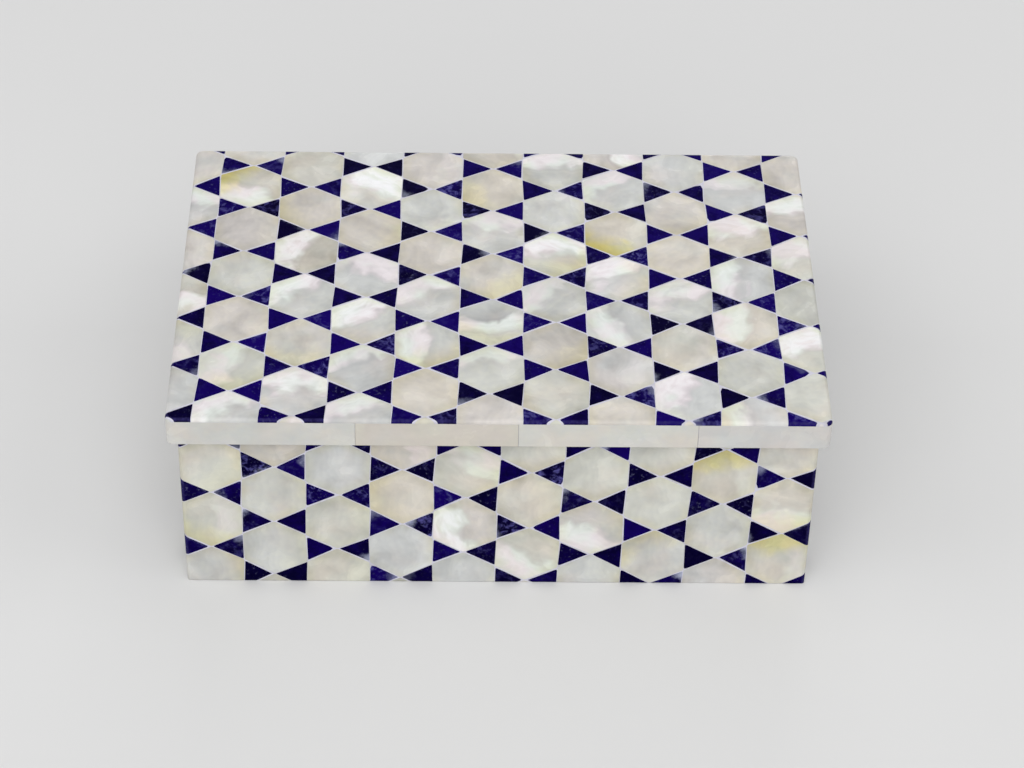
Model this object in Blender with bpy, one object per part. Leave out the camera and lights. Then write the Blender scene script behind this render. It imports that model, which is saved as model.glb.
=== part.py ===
"""A marble jewelry box faced with mother-of-pearl hexagons and lapis triangles.

Metres, +Z up. The origin is the middle of the underside. The front faces -Y and X runs along the
long side. The body is a hollow marble box, and the lid is a marble slab with a raised locating
panel underneath that drops inside the walls. Both are faced: a pearl plate with three-cornered
windows covers each wall and the top, and the lapis triangles stand in those windows on the thin
setting bed behind them. Short pearl strips run round the edge of the lid.
"""

import math

import bmesh
import bpy
from mathutils import Matrix, Vector

MM = 0.001

# Overall sizes
LID_WIDTH = 152.4 * MM
LID_DEPTH = 104.0 * MM
LID_THICKNESS = 7.7 * MM
LID_OVERHANG = 2.3 * MM
BODY_HEIGHT = 45.1 * MM

# Marble
WALL_THICKNESS = 5.0 * MM
FLOOR_THICKNESS = 6.0 * MM
LOCATING_PANEL_DEPTH = 2.0 * MM
LOCATING_PANEL_CLEARANCE = 0.8 * MM

# Facing layers, from the outside in, with the seam left between pieces that touch
PEARL_THICKNESS = 1.2 * MM
LID_PEARL_THICKNESS = 0.9 * MM
BED_THICKNESS = 0.5 * MM
SEAM = 0.3 * MM
STRIP_THICKNESS = 2.0 * MM

# Softened edges
LID_CORNER_RADIUS = 1.8 * MM
LID_EDGE_RADIUS = 0.8 * MM
BODY_CORNER_RADIUS = 1.0 * MM
MARBLE_EDGE_RADIUS = 0.6 * MM
EDGE_STEPS = 3
CORNER_STEPS = 5
LARGEST_ROUNDING = 0.95  # of the thickness that the rounding is worked into

# Mosaic. A tile side is the side of a hexagon and of the triangles between the hexagons.
LID_TILE_SIDE = 8.71 * MM
WALL_TILE_SIDE = 8.63 * MM
WINDOW_INSET = 0.15 * MM
MOSAIC_RIM = 1.8 * MM
SMALLEST_LAPIS_AREA = 5.0 * MM * MM

# Where one hexagon's centre lies from the middle of its face, and how far the rows lean
LID_MOSAIC = {"side": LID_TILE_SIDE, "centre": (-1.53 * MM, 1.25 * MM), "lean": math.radians(-0.59)}
FRONT_MOSAIC = {"side": WALL_TILE_SIDE, "centre": (7.53 * MM, 4.21 * MM), "lean": math.radians(-1.39)}
BACK_MOSAIC = {"side": WALL_TILE_SIDE, "centre": (-3.20 * MM, 2.60 * MM), "lean": math.radians(0.6)}
LEFT_MOSAIC = {"side": WALL_TILE_SIDE, "centre": (4.10 * MM, 3.40 * MM), "lean": math.radians(0.8)}
RIGHT_MOSAIC = {"side": WALL_TILE_SIDE, "centre": (-5.60 * MM, 1.90 * MM), "lean": math.radians(-0.7)}

# Butt joints of the lid's edge strips, as shares of the edge's length
FRONT_STRIP_JOINTS = (0.284, 0.529, 0.799)
BACK_STRIP_JOINTS = (0.231, 0.486, 0.762)
LEFT_STRIP_JOINTS = (0.352, 0.671)
RIGHT_STRIP_JOINTS = (0.318, 0.654)

# Coordinates closer than this are the same place
TOUCH = 0.001 * MM

# Sizes that follow
BEHIND_PEARL = SEAM + BED_THICKNESS + SEAM
FACING = PEARL_THICKNESS + BEHIND_PEARL
LID_FACING = LID_PEARL_THICKNESS + BEHIND_PEARL
BODY_WIDTH = LID_WIDTH - 2 * LID_OVERHANG
BODY_DEPTH = LID_DEPTH - 2 * LID_OVERHANG
CARCASS_WIDTH = BODY_WIDTH - 2 * FACING
CARCASS_DEPTH = BODY_DEPTH - 2 * FACING
CAVITY_WIDTH = CARCASS_WIDTH - 2 * WALL_THICKNESS
CAVITY_DEPTH = CARCASS_DEPTH - 2 * WALL_THICKNESS
SLAB_WIDTH = LID_WIDTH - 2 * (STRIP_THICKNESS + SEAM)
SLAB_DEPTH = LID_DEPTH - 2 * (STRIP_THICKNESS + SEAM)
LID_BOTTOM = BODY_HEIGHT + SEAM
LID_TOP = LID_BOTTOM + LID_THICKNESS
STRIP_TOP = LID_TOP - LID_PEARL_THICKNESS - SEAM
LID_CORNER = min(LID_CORNER_RADIUS, LARGEST_ROUNDING * STRIP_THICKNESS)
LID_EDGE = min(LID_EDGE_RADIUS, LARGEST_ROUNDING * LID_PEARL_THICKNESS)
BODY_CORNER = min(BODY_CORNER_RADIUS, LARGEST_ROUNDING * PEARL_THICKNESS)


# Scene, collections and materials


def clear_scene():
    for old in list(bpy.data.objects):
        bpy.data.objects.remove(old)


def new_collection(name):
    collection = bpy.data.collections.new(name)
    bpy.context.scene.collection.children.link(collection)
    return collection


def new_material(name, colour, roughness, metallic=0.0):
    material = bpy.data.materials.new(name)
    material.use_nodes = True
    shader = material.node_tree.nodes["Principled BSDF"]
    shader.inputs["Base Color"].default_value = (*colour, 1.0)
    shader.inputs["Roughness"].default_value = roughness
    shader.inputs["Metallic"].default_value = metallic
    return material


# Outlines: convex polygons as lists of (u, v), running anticlockwise


def clip(outline, point, inward):
    """The part of the outline on the inward side of the line through the point."""
    depths = [(u - point[0]) * inward[0] + (v - point[1]) * inward[1] for u, v in outline]
    kept = []
    for here, (start, end) in enumerate(zip(outline, outline[1:] + outline[:1])):
        now, after = depths[here], depths[(here + 1) % len(outline)]
        if now >= 0:
            kept.append(start)
        if (now >= 0) != (after >= 0):
            share = now / (now - after)
            kept.append((start[0] + share * (end[0] - start[0]), start[1] + share * (end[1] - start[1])))
    return kept


def inset(outline, distance):
    """The outline with every edge moved inwards by the distance."""
    smaller = outline
    for start, end in zip(outline, outline[1:] + outline[:1]):
        along = Vector((end[0] - start[0], end[1] - start[1]))
        if along.length < TOUCH:
            continue
        inward = Vector((-along.y, along.x)).normalized()
        smaller = clip(smaller, Vector(start) + distance * inward, inward)
    return smaller


def area(outline):
    pairs = zip(outline, outline[1:] + outline[:1])
    return 0.5 * sum(a[0] * b[1] - b[0] * a[1] for a, b in pairs)


def mosaic_triangles(width, height, mosaic):
    """Every whole triangle between the hexagons that could reach a face of this size.

    Hexagons stand on their points in columns half a row apart. In column c and row r there is a
    hexagon where c + r is even. Where it is odd, the points of a left and a right triangle meet.
    """
    side = mosaic["side"]
    column_step = side * math.sqrt(3)
    turn = Matrix.Rotation(mosaic["lean"], 2)
    columns = math.ceil((width / 2 + abs(mosaic["centre"][0])) / column_step) + 1
    rows = math.ceil((height / 2 + abs(mosaic["centre"][1])) / side) + 2
    for column in range(-columns, columns + 1):
        for row in range(-rows, rows + 1):
            if (column + row) % 2 == 0:
                continue
            tip = Vector((column * column_step, row * side))
            for way in (-1, 1):
                base = [Vector((way * column_step / 2, end * way * side / 2)) for end in (-1, 1)]
                corners = [turn @ (tip + offset) for offset in (Vector((0, 0)), *base)]
                yield [(mosaic["centre"][0] + p.x, mosaic["centre"][1] + p.y) for p in corners]


def window_outlines(width, height, mosaic):
    """The windows for the lapis in a pearl plate of this size, inside its plain rim."""
    half_width = width / 2 - MOSAIC_RIM
    half_height = height / 2 - MOSAIC_RIM
    outlines = []
    for outline in mosaic_triangles(width, height, mosaic):
        for point, inward in (
            ((half_width, 0), (-1, 0)),
            ((-half_width, 0), (1, 0)),
            ((0, half_height), (0, -1)),
            ((0, -half_height), (0, 1)),
        ):
            outline = clip(outline, point, inward)
        window = inset(outline, WINDOW_INSET)
        if area(inset(window, SEAM)) > SMALLEST_LAPIS_AREA:
            outlines.append(window)
    return outlines


# Solids


def box_bmesh(low, high):
    """A closed box between two corners."""
    low, high = Vector(low), Vector(high)
    place = Matrix.Translation((low + high) / 2) @ Matrix.Diagonal((*(high - low), 1))
    bm = bmesh.new()
    bmesh.ops.create_cube(bm, size=1, matrix=place)
    return bm


def edges_at(bm, **places):
    """The straight edges that lie, end to end, at one of the given values of each named axis."""

    def lies_at(edge, axis, value):
        return all(abs(getattr(vertex.co, axis) - value) < TOUCH for vertex in edge.verts)

    return [
        edge
        for edge in bm.edges
        if all(any(lies_at(edge, axis, value) for value in values) for axis, values in places.items())
    ]


def soften(bm, edges, radius, steps):
    bmesh.ops.bevel(bm, geom=edges, offset=radius, segments=steps, profile=0.5, affect="EDGES")


def prisms_mesh(name, outlines, low, high):
    """Straight prisms on the outlines, from z = low to z = high, together in one mesh."""
    curve = bpy.data.curves.new(name, "CURVE")
    curve.dimensions = "2D"
    curve.fill_mode = "BOTH"
    curve.extrude = (high - low) / 2
    for outline in outlines:
        spline = curve.splines.new("POLY")
        spline.points.add(len(outline) - 1)
        spline.use_cyclic_u = True
        for point, (u, v) in zip(spline.points, outline):
            point.co = (u, v, 0, 1)
    guide = bpy.data.objects.new(name, curve)
    bpy.context.scene.collection.objects.link(guide)
    evaluated = guide.evaluated_get(bpy.context.evaluated_depsgraph_get())
    mesh = bpy.data.meshes.new_from_object(evaluated)
    bpy.data.objects.remove(guide)
    bm = bmesh.new()
    bm.from_mesh(mesh)
    bmesh.ops.translate(bm, vec=(0, 0, (low + high) / 2), verts=bm.verts)
    bmesh.ops.remove_doubles(bm, verts=bm.verts, dist=TOUCH)
    bmesh.ops.recalc_face_normals(bm, faces=bm.faces)
    bm.to_mesh(mesh)
    bm.free()
    return mesh


def add_object(name, shape, material, collection, location=(0, 0, 0), rotation=(0, 0, 0)):
    """Links a piece made of a bmesh or of a mesh into its collection."""
    if isinstance(shape, bmesh.types.BMesh):
        mesh = bpy.data.meshes.new(name)
        shape.to_mesh(mesh)
        shape.free()
    else:
        mesh = shape
    mesh.materials.clear()
    mesh.materials.append(material)
    piece = bpy.data.objects.new(name, mesh)
    piece.location = location
    piece.rotation_euler = rotation
    collection.objects.link(piece)
    return piece


def add_guide(name, shape, material, collection, location=(0, 0, 0), rotation=(0, 0, 0)):
    """A hidden shape that only cuts or joins its neighbour."""
    guide = add_object(name, shape, material, collection, location, rotation)
    guide.hide_render = True
    guide.display_type = "WIRE"
    return guide


def combine(piece, guide, operation):
    modifier = piece.modifiers.new(guide.name, "BOOLEAN")
    modifier.operation = operation
    modifier.object = guide


# Marble pieces


def make_body(material, parts, cutters):
    """The carcass: a box with the cavity cut out of it from above."""
    half = Vector((CARCASS_WIDTH / 2, CARCASS_DEPTH / 2))
    shell = box_bmesh((-half.x, -half.y, 0), (half.x, half.y, BODY_HEIGHT))
    soften(shell, edges_at(shell, z=(0,)), MARBLE_EDGE_RADIUS, EDGE_STEPS)
    body = add_object("box_body", shell, material, parts)

    hollow_half = Vector((CAVITY_WIDTH / 2, CAVITY_DEPTH / 2))
    hollow = box_bmesh(
        (-hollow_half.x, -hollow_half.y, FLOOR_THICKNESS),
        (hollow_half.x, hollow_half.y, BODY_HEIGHT + FLOOR_THICKNESS),
    )
    combine(body, add_guide("cavity", hollow, material, cutters), "DIFFERENCE")


def make_lid_slab(material, parts, cutters):
    """The lid's marble: a slab with the locating panel raised on its underside."""
    half = Vector((SLAB_WIDTH / 2, SLAB_DEPTH / 2))
    slab = box_bmesh((-half.x, -half.y, LID_BOTTOM), (half.x, half.y, LID_TOP - LID_FACING))
    lid = add_object("lid_slab", slab, material, parts)

    clearance = Vector((LOCATING_PANEL_CLEARANCE, LOCATING_PANEL_CLEARANCE))
    panel_half = Vector((CAVITY_WIDTH / 2, CAVITY_DEPTH / 2)) - clearance
    panel_bottom = LID_BOTTOM - LOCATING_PANEL_DEPTH
    panel = box_bmesh(
        (-panel_half.x, -panel_half.y, panel_bottom),
        (panel_half.x, panel_half.y, LID_BOTTOM + (LID_THICKNESS - LID_FACING) / 2),
    )
    soften(panel, edges_at(panel, z=(panel_bottom,)), MARBLE_EDGE_RADIUS, EDGE_STEPS)
    combine(lid, add_guide("locating_panel", panel, material, cutters), "UNION")


# Facings


def pearl_plate_bmesh(width, height, thickness, rounding):
    """A plate whose outer surface is at z = 0. rounding says which edges of it are softened."""
    plate = box_bmesh((-width / 2, -height / 2, -thickness), (width / 2, height / 2, 0))
    if rounding == "lid":
        corners = edges_at(plate, x=(-width / 2, width / 2), y=(-height / 2, height / 2))
        soften(plate, corners, LID_CORNER, CORNER_STEPS)
        soften(plate, edges_at(plate, z=(0,)), LID_EDGE, EDGE_STEPS)
    if rounding == "wall ends":
        ends = edges_at(plate, x=(-width / 2, width / 2), z=(0,))
        soften(plate, ends, BODY_CORNER, EDGE_STEPS)
    return plate


def make_facing(face, parts, cutters, pearl, lapis):
    """The two pieces on one face: the pearl plate, and the lapis triangles on their bed."""
    name, size, bed_size, thickness = face["name"], face["size"], face["bed_size"], face["thickness"]
    place = {"location": face["location"], "rotation": face["rotation"]}
    windows = window_outlines(*size, face["mosaic"])
    tiles = [inset(window, SEAM) for window in windows]
    bed_top = -thickness - SEAM

    plate_shape = pearl_plate_bmesh(*size, thickness, face["rounding"])
    plate = add_object(f"{name}_pearl", plate_shape, pearl, parts, **place)
    holes = prisms_mesh(f"{name}_windows", windows, -2 * thickness, thickness)
    combine(plate, add_guide(f"{name}_windows", holes, pearl, cutters, **place), "DIFFERENCE")

    bed = box_bmesh(
        (-bed_size[0] / 2, -bed_size[1] / 2, bed_top - BED_THICKNESS),
        (bed_size[0] / 2, bed_size[1] / 2, bed_top),
    )
    inlay = add_object(f"{name}_lapis", bed, lapis, parts, **place)
    triangles = prisms_mesh(f"{name}_triangles", tiles, bed_top - BED_THICKNESS / 2, 0)
    combine(inlay, add_guide(f"{name}_triangles", triangles, lapis, cutters, **place), "UNION")


def faces():
    """The five faced sides. Local x runs along the face, local y up it and local z out of it."""
    behind_pearl = PEARL_THICKNESS + SEAM
    side_width = BODY_DEPTH - 2 * behind_pearl
    long_wall = (BODY_WIDTH, BODY_HEIGHT)
    short_wall = (side_width, BODY_HEIGHT)
    bed_height = BODY_HEIGHT - MOSAIC_RIM
    long_bed = (BODY_WIDTH - 2 * behind_pearl, bed_height)
    short_bed = (side_width - 2 * (BED_THICKNESS + SEAM), bed_height)
    upright = math.pi / 2
    middle = BODY_HEIGHT / 2
    return [
        {
            "name": "lid_top",
            "location": (0, 0, LID_TOP),
            "rotation": (0, 0, 0),
            "size": (LID_WIDTH, LID_DEPTH),
            "bed_size": (SLAB_WIDTH, SLAB_DEPTH),
            "thickness": LID_PEARL_THICKNESS,
            "mosaic": LID_MOSAIC,
            "rounding": "lid",
        },
        {
            "name": "front",
            "location": (0, -BODY_DEPTH / 2, middle),
            "rotation": (upright, 0, 0),
            "size": long_wall,
            "bed_size": long_bed,
            "thickness": PEARL_THICKNESS,
            "mosaic": FRONT_MOSAIC,
            "rounding": "wall ends",
        },
        {
            "name": "back",
            "location": (0, BODY_DEPTH / 2, middle),
            "rotation": (upright, 0, math.pi),
            "size": long_wall,
            "bed_size": long_bed,
            "thickness": PEARL_THICKNESS,
            "mosaic": BACK_MOSAIC,
            "rounding": "wall ends",
        },
        {
            "name": "left",
            "location": (-BODY_WIDTH / 2, 0, middle),
            "rotation": (upright, 0, -math.pi / 2),
            "size": short_wall,
            "bed_size": short_bed,
            "thickness": PEARL_THICKNESS,
            "mosaic": LEFT_MOSAIC,
            "rounding": "none",
        },
        {
            "name": "right",
            "location": (BODY_WIDTH / 2, 0, middle),
            "rotation": (upright, 0, math.pi / 2),
            "size": short_wall,
            "bed_size": short_bed,
            "thickness": PEARL_THICKNESS,
            "mosaic": RIGHT_MOSAIC,
            "rounding": "none",
        },
    ]


# Edge strips of the lid


def strip_runs(length, joints):
    """Start and end of each strip along an edge of this length, measured from its middle."""
    places = [0, *joints, 1]
    for first, last in zip(places, places[1:]):
        start = (first - 0.5) * length + (SEAM / 2 if first > 0 else 0)
        end = (last - 0.5) * length - (SEAM / 2 if last < 1 else 0)
        yield start, end


def make_long_strips(name, joints, outer_y, material, parts):
    """Strips along the front or back edge. The two end ones turn the lid's corners."""
    inner_y = outer_y - math.copysign(STRIP_THICKNESS, outer_y)
    for number, (start, end) in enumerate(strip_runs(LID_WIDTH, joints), 1):
        low = (start, min(outer_y, inner_y), LID_BOTTOM)
        high = (end, max(outer_y, inner_y), STRIP_TOP)
        strip = box_bmesh(low, high)
        corners = edges_at(strip, x=(-LID_WIDTH / 2, LID_WIDTH / 2), y=(outer_y,))
        if corners:
            soften(strip, corners, LID_CORNER, CORNER_STEPS)
        add_object(f"lid_edge_{name}_{number}", strip, material, parts)


def make_short_strips(name, joints, outer_x, material, parts):
    """Strips along the left or right edge, between the long ones."""
    inner_x = outer_x - math.copysign(STRIP_THICKNESS, outer_x)
    length = LID_DEPTH - 2 * (STRIP_THICKNESS + SEAM)
    for number, (start, end) in enumerate(strip_runs(length, joints), 1):
        low = (min(outer_x, inner_x), start, LID_BOTTOM)
        high = (max(outer_x, inner_x), end, STRIP_TOP)
        add_object(f"lid_edge_{name}_{number}", box_bmesh(low, high), material, parts)


def build():
    clear_scene()
    parts = new_collection("marble_jewelry_box")
    cutters = new_collection("cutters")
    marble = new_material("white_marble", (0.86, 0.85, 0.82), 0.25)
    pearl = new_material("mother_of_pearl", (0.80, 0.79, 0.74), 0.18)
    lapis = new_material("lapis_blue", (0.02, 0.01, 0.16), 0.22)

    make_body(marble, parts, cutters)
    make_lid_slab(marble, parts, cutters)
    for face in faces():
        make_facing(face, parts, cutters, pearl, lapis)
    make_long_strips("front", FRONT_STRIP_JOINTS, -LID_DEPTH / 2, pearl, parts)
    make_long_strips("back", BACK_STRIP_JOINTS, LID_DEPTH / 2, pearl, parts)
    make_short_strips("left", LEFT_STRIP_JOINTS, -LID_WIDTH / 2, pearl, parts)
    make_short_strips("right", RIGHT_STRIP_JOINTS, LID_WIDTH / 2, pearl, parts)


build()
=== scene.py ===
# %% [markdown]
# # A marble box dressed in mother-of-pearl and lapis
# The frame holds the plain solids of a small lidded box: its marble body, its lid, and a thin
# facing on five sides. This lesson dresses them. Each facing becomes what a stone worker lays by
# hand: six-sided pearl tiles, dark blue triangles between them, and the white putty in the joints.
# Everything is in metres, and a new piece goes exactly where the solid that it replaces stands.

# %% Load the frame
import math
from functools import partialmethod

import bmesh
import bpy
import numpy as np
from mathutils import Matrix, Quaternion, Vector


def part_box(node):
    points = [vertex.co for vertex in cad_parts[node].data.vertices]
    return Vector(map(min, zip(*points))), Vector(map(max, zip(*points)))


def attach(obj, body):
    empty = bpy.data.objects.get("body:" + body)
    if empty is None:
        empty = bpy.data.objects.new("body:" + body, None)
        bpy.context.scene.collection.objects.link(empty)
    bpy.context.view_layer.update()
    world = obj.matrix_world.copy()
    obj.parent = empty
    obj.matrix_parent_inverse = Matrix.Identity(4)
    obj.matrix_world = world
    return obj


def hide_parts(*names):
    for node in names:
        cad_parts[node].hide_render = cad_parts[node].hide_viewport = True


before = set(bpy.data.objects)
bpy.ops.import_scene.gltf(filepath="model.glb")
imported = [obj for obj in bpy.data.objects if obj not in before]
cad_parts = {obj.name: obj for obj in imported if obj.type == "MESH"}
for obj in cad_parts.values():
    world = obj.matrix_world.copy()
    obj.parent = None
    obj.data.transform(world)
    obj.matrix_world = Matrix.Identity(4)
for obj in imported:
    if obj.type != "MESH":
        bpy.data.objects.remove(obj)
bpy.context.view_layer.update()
MM = 0.001
print("nodes in the frame:", len(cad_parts))

# %% [markdown]
# ## The camera
# The pattern on the lid is a ruler: its rows and columns are evenly spaced, so the way that they
# shrink and lean in the picture tells where the camera stood. It looks down from the front by about
# 40 degrees, from three quarters of a metre away, through a long lens, and it is rolled by a degree.
# A camera object looks along its own -Z, so its Z axis is pointed back, away from the box.

# %% Camera
LENS = 106.5
LOOK_AT = Vector((3.8, 0.0, 20.1)) * MM
CAMERA_DISTANCE = 750.5 * MM
CAMERA_AZIMUTH = -1.23
CAMERA_ELEVATION = 40.36
CAMERA_ROLL = 1.20


def compass(azimuth, elevation):
    """The direction out of the box at these angles in degrees: azimuth 0 is in front, 90 right."""
    turn, rise = math.radians(azimuth), math.radians(elevation)
    return Vector((math.sin(turn) * math.cos(rise), -math.cos(turn) * math.cos(rise), math.sin(rise)))


camera = bpy.data.objects.new("camera", bpy.data.cameras.new("camera"))
bpy.context.scene.collection.objects.link(camera)
bpy.context.scene.camera = camera
camera.data.lens = LENS
camera.data.clip_start = 10 * MM
backwards = compass(CAMERA_AZIMUTH, CAMERA_ELEVATION)
camera.location = LOOK_AT + backwards * CAMERA_DISTANCE
camera.rotation_mode = "QUATERNION"
roll = Quaternion((0, 0, 1), math.radians(CAMERA_ROLL))
camera.rotation_quaternion = backwards.to_track_quat("Z", "Y") @ roll
print("camera at", [round(value, 3) for value in camera.location])

# %% [markdown]
# ## Floor and light
# A small glossy thing is photographed in soft light: wide lamps, so that shadows have no hard edge.
# The main lamp stands in front and above, because the lid and the front wall are equally bright in
# the picture. Weaker ones fill the sides and the back. The view transform is Standard, which keeps
# the near-black blue of the triangles as dark as its material says.

# %% Stage
FLOOR_SIZE = 6.0
FLOOR_GREY = 0.758
WORLD_STRENGTH = 0.31
LAMPS = {
    # name: (azimuth and elevation in degrees, distance and width in metres, power in watts)
    "main_lamp": (-6, 45.5, 3.0, 3.4, 66.0),
    "left_lamp": (-80, 38, 3.0, 2.0, 14.5),
    "right_lamp": (78, 38, 3.0, 2.0, 15.0),
    "back_lamp": (170, 62, 3.2, 2.0, 7.0),
    "low_back_lamp": (176, 20, 3.2, 1.2, 14.0),
}

scene = bpy.context.scene
scene.view_settings.view_transform = "Standard"
scene.world = bpy.data.worlds.new("soft_room")
scene.world.use_nodes = True
background = scene.world.node_tree.nodes["Background"].inputs
background["Color"].default_value = (1.0, 1.0, 1.0, 1.0)
background["Strength"].default_value = WORLD_STRENGTH

for name, (azimuth, elevation, distance, width, power) in LAMPS.items():
    lamp = bpy.data.objects.new(name, bpy.data.lights.new(name, "AREA"))
    scene.collection.objects.link(lamp)
    towards = compass(azimuth, elevation)
    lamp.location = towards * distance
    lamp.rotation_euler = towards.to_track_quat("Z", "Y").to_euler()
    lamp.data.size = width
    lamp.data.energy = power
print("lamps:", ", ".join(LAMPS))

# %% [markdown]
# ## The five faces
# Five sides carry the pattern: the lid's top and the four walls. Each face gets its own flat
# coordinates, u along it, v up it and w out of it, so that one set of functions can lay all five.
# Where one hexagon lies on the lid and on the front is measured from the picture, and so is the
# slight lean of the rows. The other three walls are the maker's choice in the same manner.

# %% Faces
LID_TILE = 8.71 * MM  # the side of a hexagon
WALL_TILE = 8.63 * MM


class Face:
    """One faced side. A local point (u, v, w) stands at middle + u * along + v * up + w * out."""

    def __init__(self, name, along, up, tile, hexagon, lean, ends=0.0, bottom=0.0, corner=0.0):
        low, high = (np.array(place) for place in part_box(f"{name}_pearl"))
        self.name, self.tile = name, tile
        self.hexagon = np.array(hexagon) * MM
        self.lean = math.radians(lean)
        self.ends, self.bottom, self.corner = ends, bottom, corner
        self.axes = np.array([along, up, np.cross(along, up)], float)
        size = np.abs(self.axes @ (high - low))
        self.half = size[:2] / 2
        self.thickness = size[2]
        self.middle = (low + high) / 2 + self.axes[2] * self.thickness / 2

    def to_world(self, points):
        return self.middle + points @ self.axes


LID_EDGE = 0.8 * MM
LID_CORNER = 1.8 * MM
BODY_EDGE = 1.0 * MM
FOOT_EDGE = 0.35 * MM
X, Y, Z = np.eye(3)
FACES = [
    Face("lid_top", X, Y, LID_TILE, (-1.53, 1.25), -0.59, ends=LID_EDGE, bottom=LID_EDGE, corner=LID_CORNER),
    Face("front", X, Z, WALL_TILE, (7.53, 4.21), -1.39, ends=BODY_EDGE, bottom=FOOT_EDGE),
    Face("back", -X, Z, WALL_TILE, (-3.20, 2.60), 0.6, ends=BODY_EDGE, bottom=FOOT_EDGE),
    Face("left", -Y, Z, WALL_TILE, (4.10, 3.40), 0.8, bottom=FOOT_EDGE),
    Face("right", Y, Z, WALL_TILE, (-5.60, 1.90), -0.7, bottom=FOOT_EDGE),
]
for face in FACES:
    print(face.name, "measures", np.round(face.half * 2 / MM, 1), "mm")

# %% [markdown]
# ## Outlines of the tiles
# The pattern is an old one: every hexagon touches six others at its points, and a small triangle
# fills each space between them. All its corners lie on one lattice, so two short formulas give every
# outline of a face at once, as one array. A hand-laid pattern is never exact, and what makes it look
# real is that neighbours wander together: both tiles at a joint lean the same way. So the corners
# move by a function of their place, and only afterwards is each tile made smaller by its half of
# the joint.

# %% Lattice, hexagons and triangles
WANDER = 0.16 * MM


def turned(points, angle):
    """Points turned anticlockwise about the origin."""
    turn = np.array([[math.cos(angle), -math.sin(angle)], [math.sin(angle), math.cos(angle)]])
    return points @ turn.T


def lattice(face, odd):
    """The pattern's places (column, row) whose sum is even or odd, and their points on the face.

    Column c and row r lie at u = c * tile * sqrt(3) and v = r * tile, turned by the face's lean and
    moved to its measured hexagon. A hexagon's middle has an even c + r. At an odd one, the tips of
    two triangles meet.
    """
    most = int(2 * max(face.half) / face.tile)
    columns = np.arange(-most, most + 1)
    places = np.stack(np.meshgrid(columns, columns, indexing="ij"), axis=-1).reshape(-1, 2)
    places = places[places.sum(axis=1) % 2 == odd]
    return places, turned(places * (math.sqrt(3), 1) * face.tile, face.lean) + face.hexagon


def wander(face, points):
    """Moves each corner by a sum of two sines of its own place, so a shared corner moves once."""
    u, v = np.moveaxis(points / face.tile, -1, 0)
    phase = len(face.name)
    du = np.sin(7.3 * u + 5.1 * v + phase) + np.sin(2.9 * u - 8.7 * v)
    dv = np.sin(6.1 * u - 4.3 * v + 2 * phase) + np.sin(3.7 * u + 9.1 * v)
    return points + WANDER * np.stack([du, dv], axis=-1)


def on_face(face, outlines):
    """Which outlines reach the face: their boxes overlap it."""
    low, high = outlines.min(axis=1), outlines.max(axis=1)
    return ((low < face.half) & (high > -face.half)).all(axis=1)


def hexagon_outlines(face):
    """Six corners round each even place, one tile side away, the first one straight up."""
    places, spots = lattice(face, odd=0)
    angles = math.pi / 2 + np.arange(6) * math.pi / 3 + face.lean
    corners = face.tile * np.stack([np.cos(angles), np.sin(angles)], axis=-1)
    outlines = wander(face, spots[:, None] + corners)
    keep = on_face(face, outlines)
    return outlines[keep], spots[keep], places[keep]


def triangle_outlines(face):
    """Two triangles at each odd place, with their tips there, one to the right and one to the left.
    The third number of a place is 1 for the right one and -1 for the left one."""
    places, spots = lattice(face, odd=1)
    right = np.array([[0, 0], [math.sqrt(3) / 2, -0.5], [math.sqrt(3) / 2, 0.5]]) * face.tile
    corners = turned(np.stack([right, -right]), face.lean)
    outlines = (spots[:, None, None] + corners).reshape(-1, 3, 2)
    middles = outlines.mean(axis=1)
    outlines = wander(face, outlines)
    keep = on_face(face, outlines)
    places = np.column_stack([np.repeat(places, 2, axis=0), np.tile([1, -1], len(places))])
    return outlines[keep], middles[keep], places[keep]


for face in FACES:
    hexagons, triangles = len(hexagon_outlines(face)[0]), len(triangle_outlines(face)[0])
    print(face.name, hexagons, "hexagons,", triangles, "triangles")

# %% [markdown]
# ## From outlines to cut tiles
# A real tile has no perfectly sharp corner: the saw and the grinding wheel take it off. Here each
# corner becomes a short curve between a point a little before it and a point a little after it.
# A few triangles have lost more than that from one corner, as in the picture.

# %% Joints and corners
def shrunk(outlines, distance):
    """Every side moved inwards. A corner moves by distance * (n1 + n2) / (1 + n1 . n2), where n1 and
    n2 are the inward normals of the two sides that meet there."""
    after = np.roll(outlines, -1, axis=1) - outlines
    after /= np.linalg.norm(after, axis=-1, keepdims=True)
    normal_after = np.stack([-after[..., 1], after[..., 0]], axis=-1)
    normal_before = np.roll(normal_after, 1, axis=1)
    along = 1 + (normal_after * normal_before).sum(axis=-1, keepdims=True)
    return outlines + distance * (normal_before + normal_after) / along


def blunted(outlines, cuts):
    """Each corner c becomes three points of a quadratic curve: from the point at the cut's length
    before it, past (before + 2 c + after) / 4, to the point at the same length after it."""
    before = np.roll(outlines, 1, axis=1) - outlines
    after = np.roll(outlines, -1, axis=1) - outlines
    before *= (cuts / np.linalg.norm(before, axis=-1))[..., None]
    after *= (cuts / np.linalg.norm(after, axis=-1))[..., None]
    curve = [outlines + before, outlines + (before + after) / 4, outlines + after]
    return np.stack(curve, axis=2).reshape(len(outlines), -1, 2)


# %% [markdown]
# ## Grinding the faces
# The tiles are laid past the edge of the box, and then the whole face is ground: the overhang goes,
# and the edge is rounded over, through pearl and lapis alike. A Boolean with a rounded block could
# do this, but it leaves untidy faces. Bisecting is cleaner: planes trim the tiles at the outline,
# more planes cut extra lines across the rounding, and then every point sinks by a formula.

# %% Grinding
ROUND_STEPS = 4
CORNER_STEPS = 8
SAME_PLACE = 1e-8
GUARD = 1.35  # the last flat line lies this many radii from the edge


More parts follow.
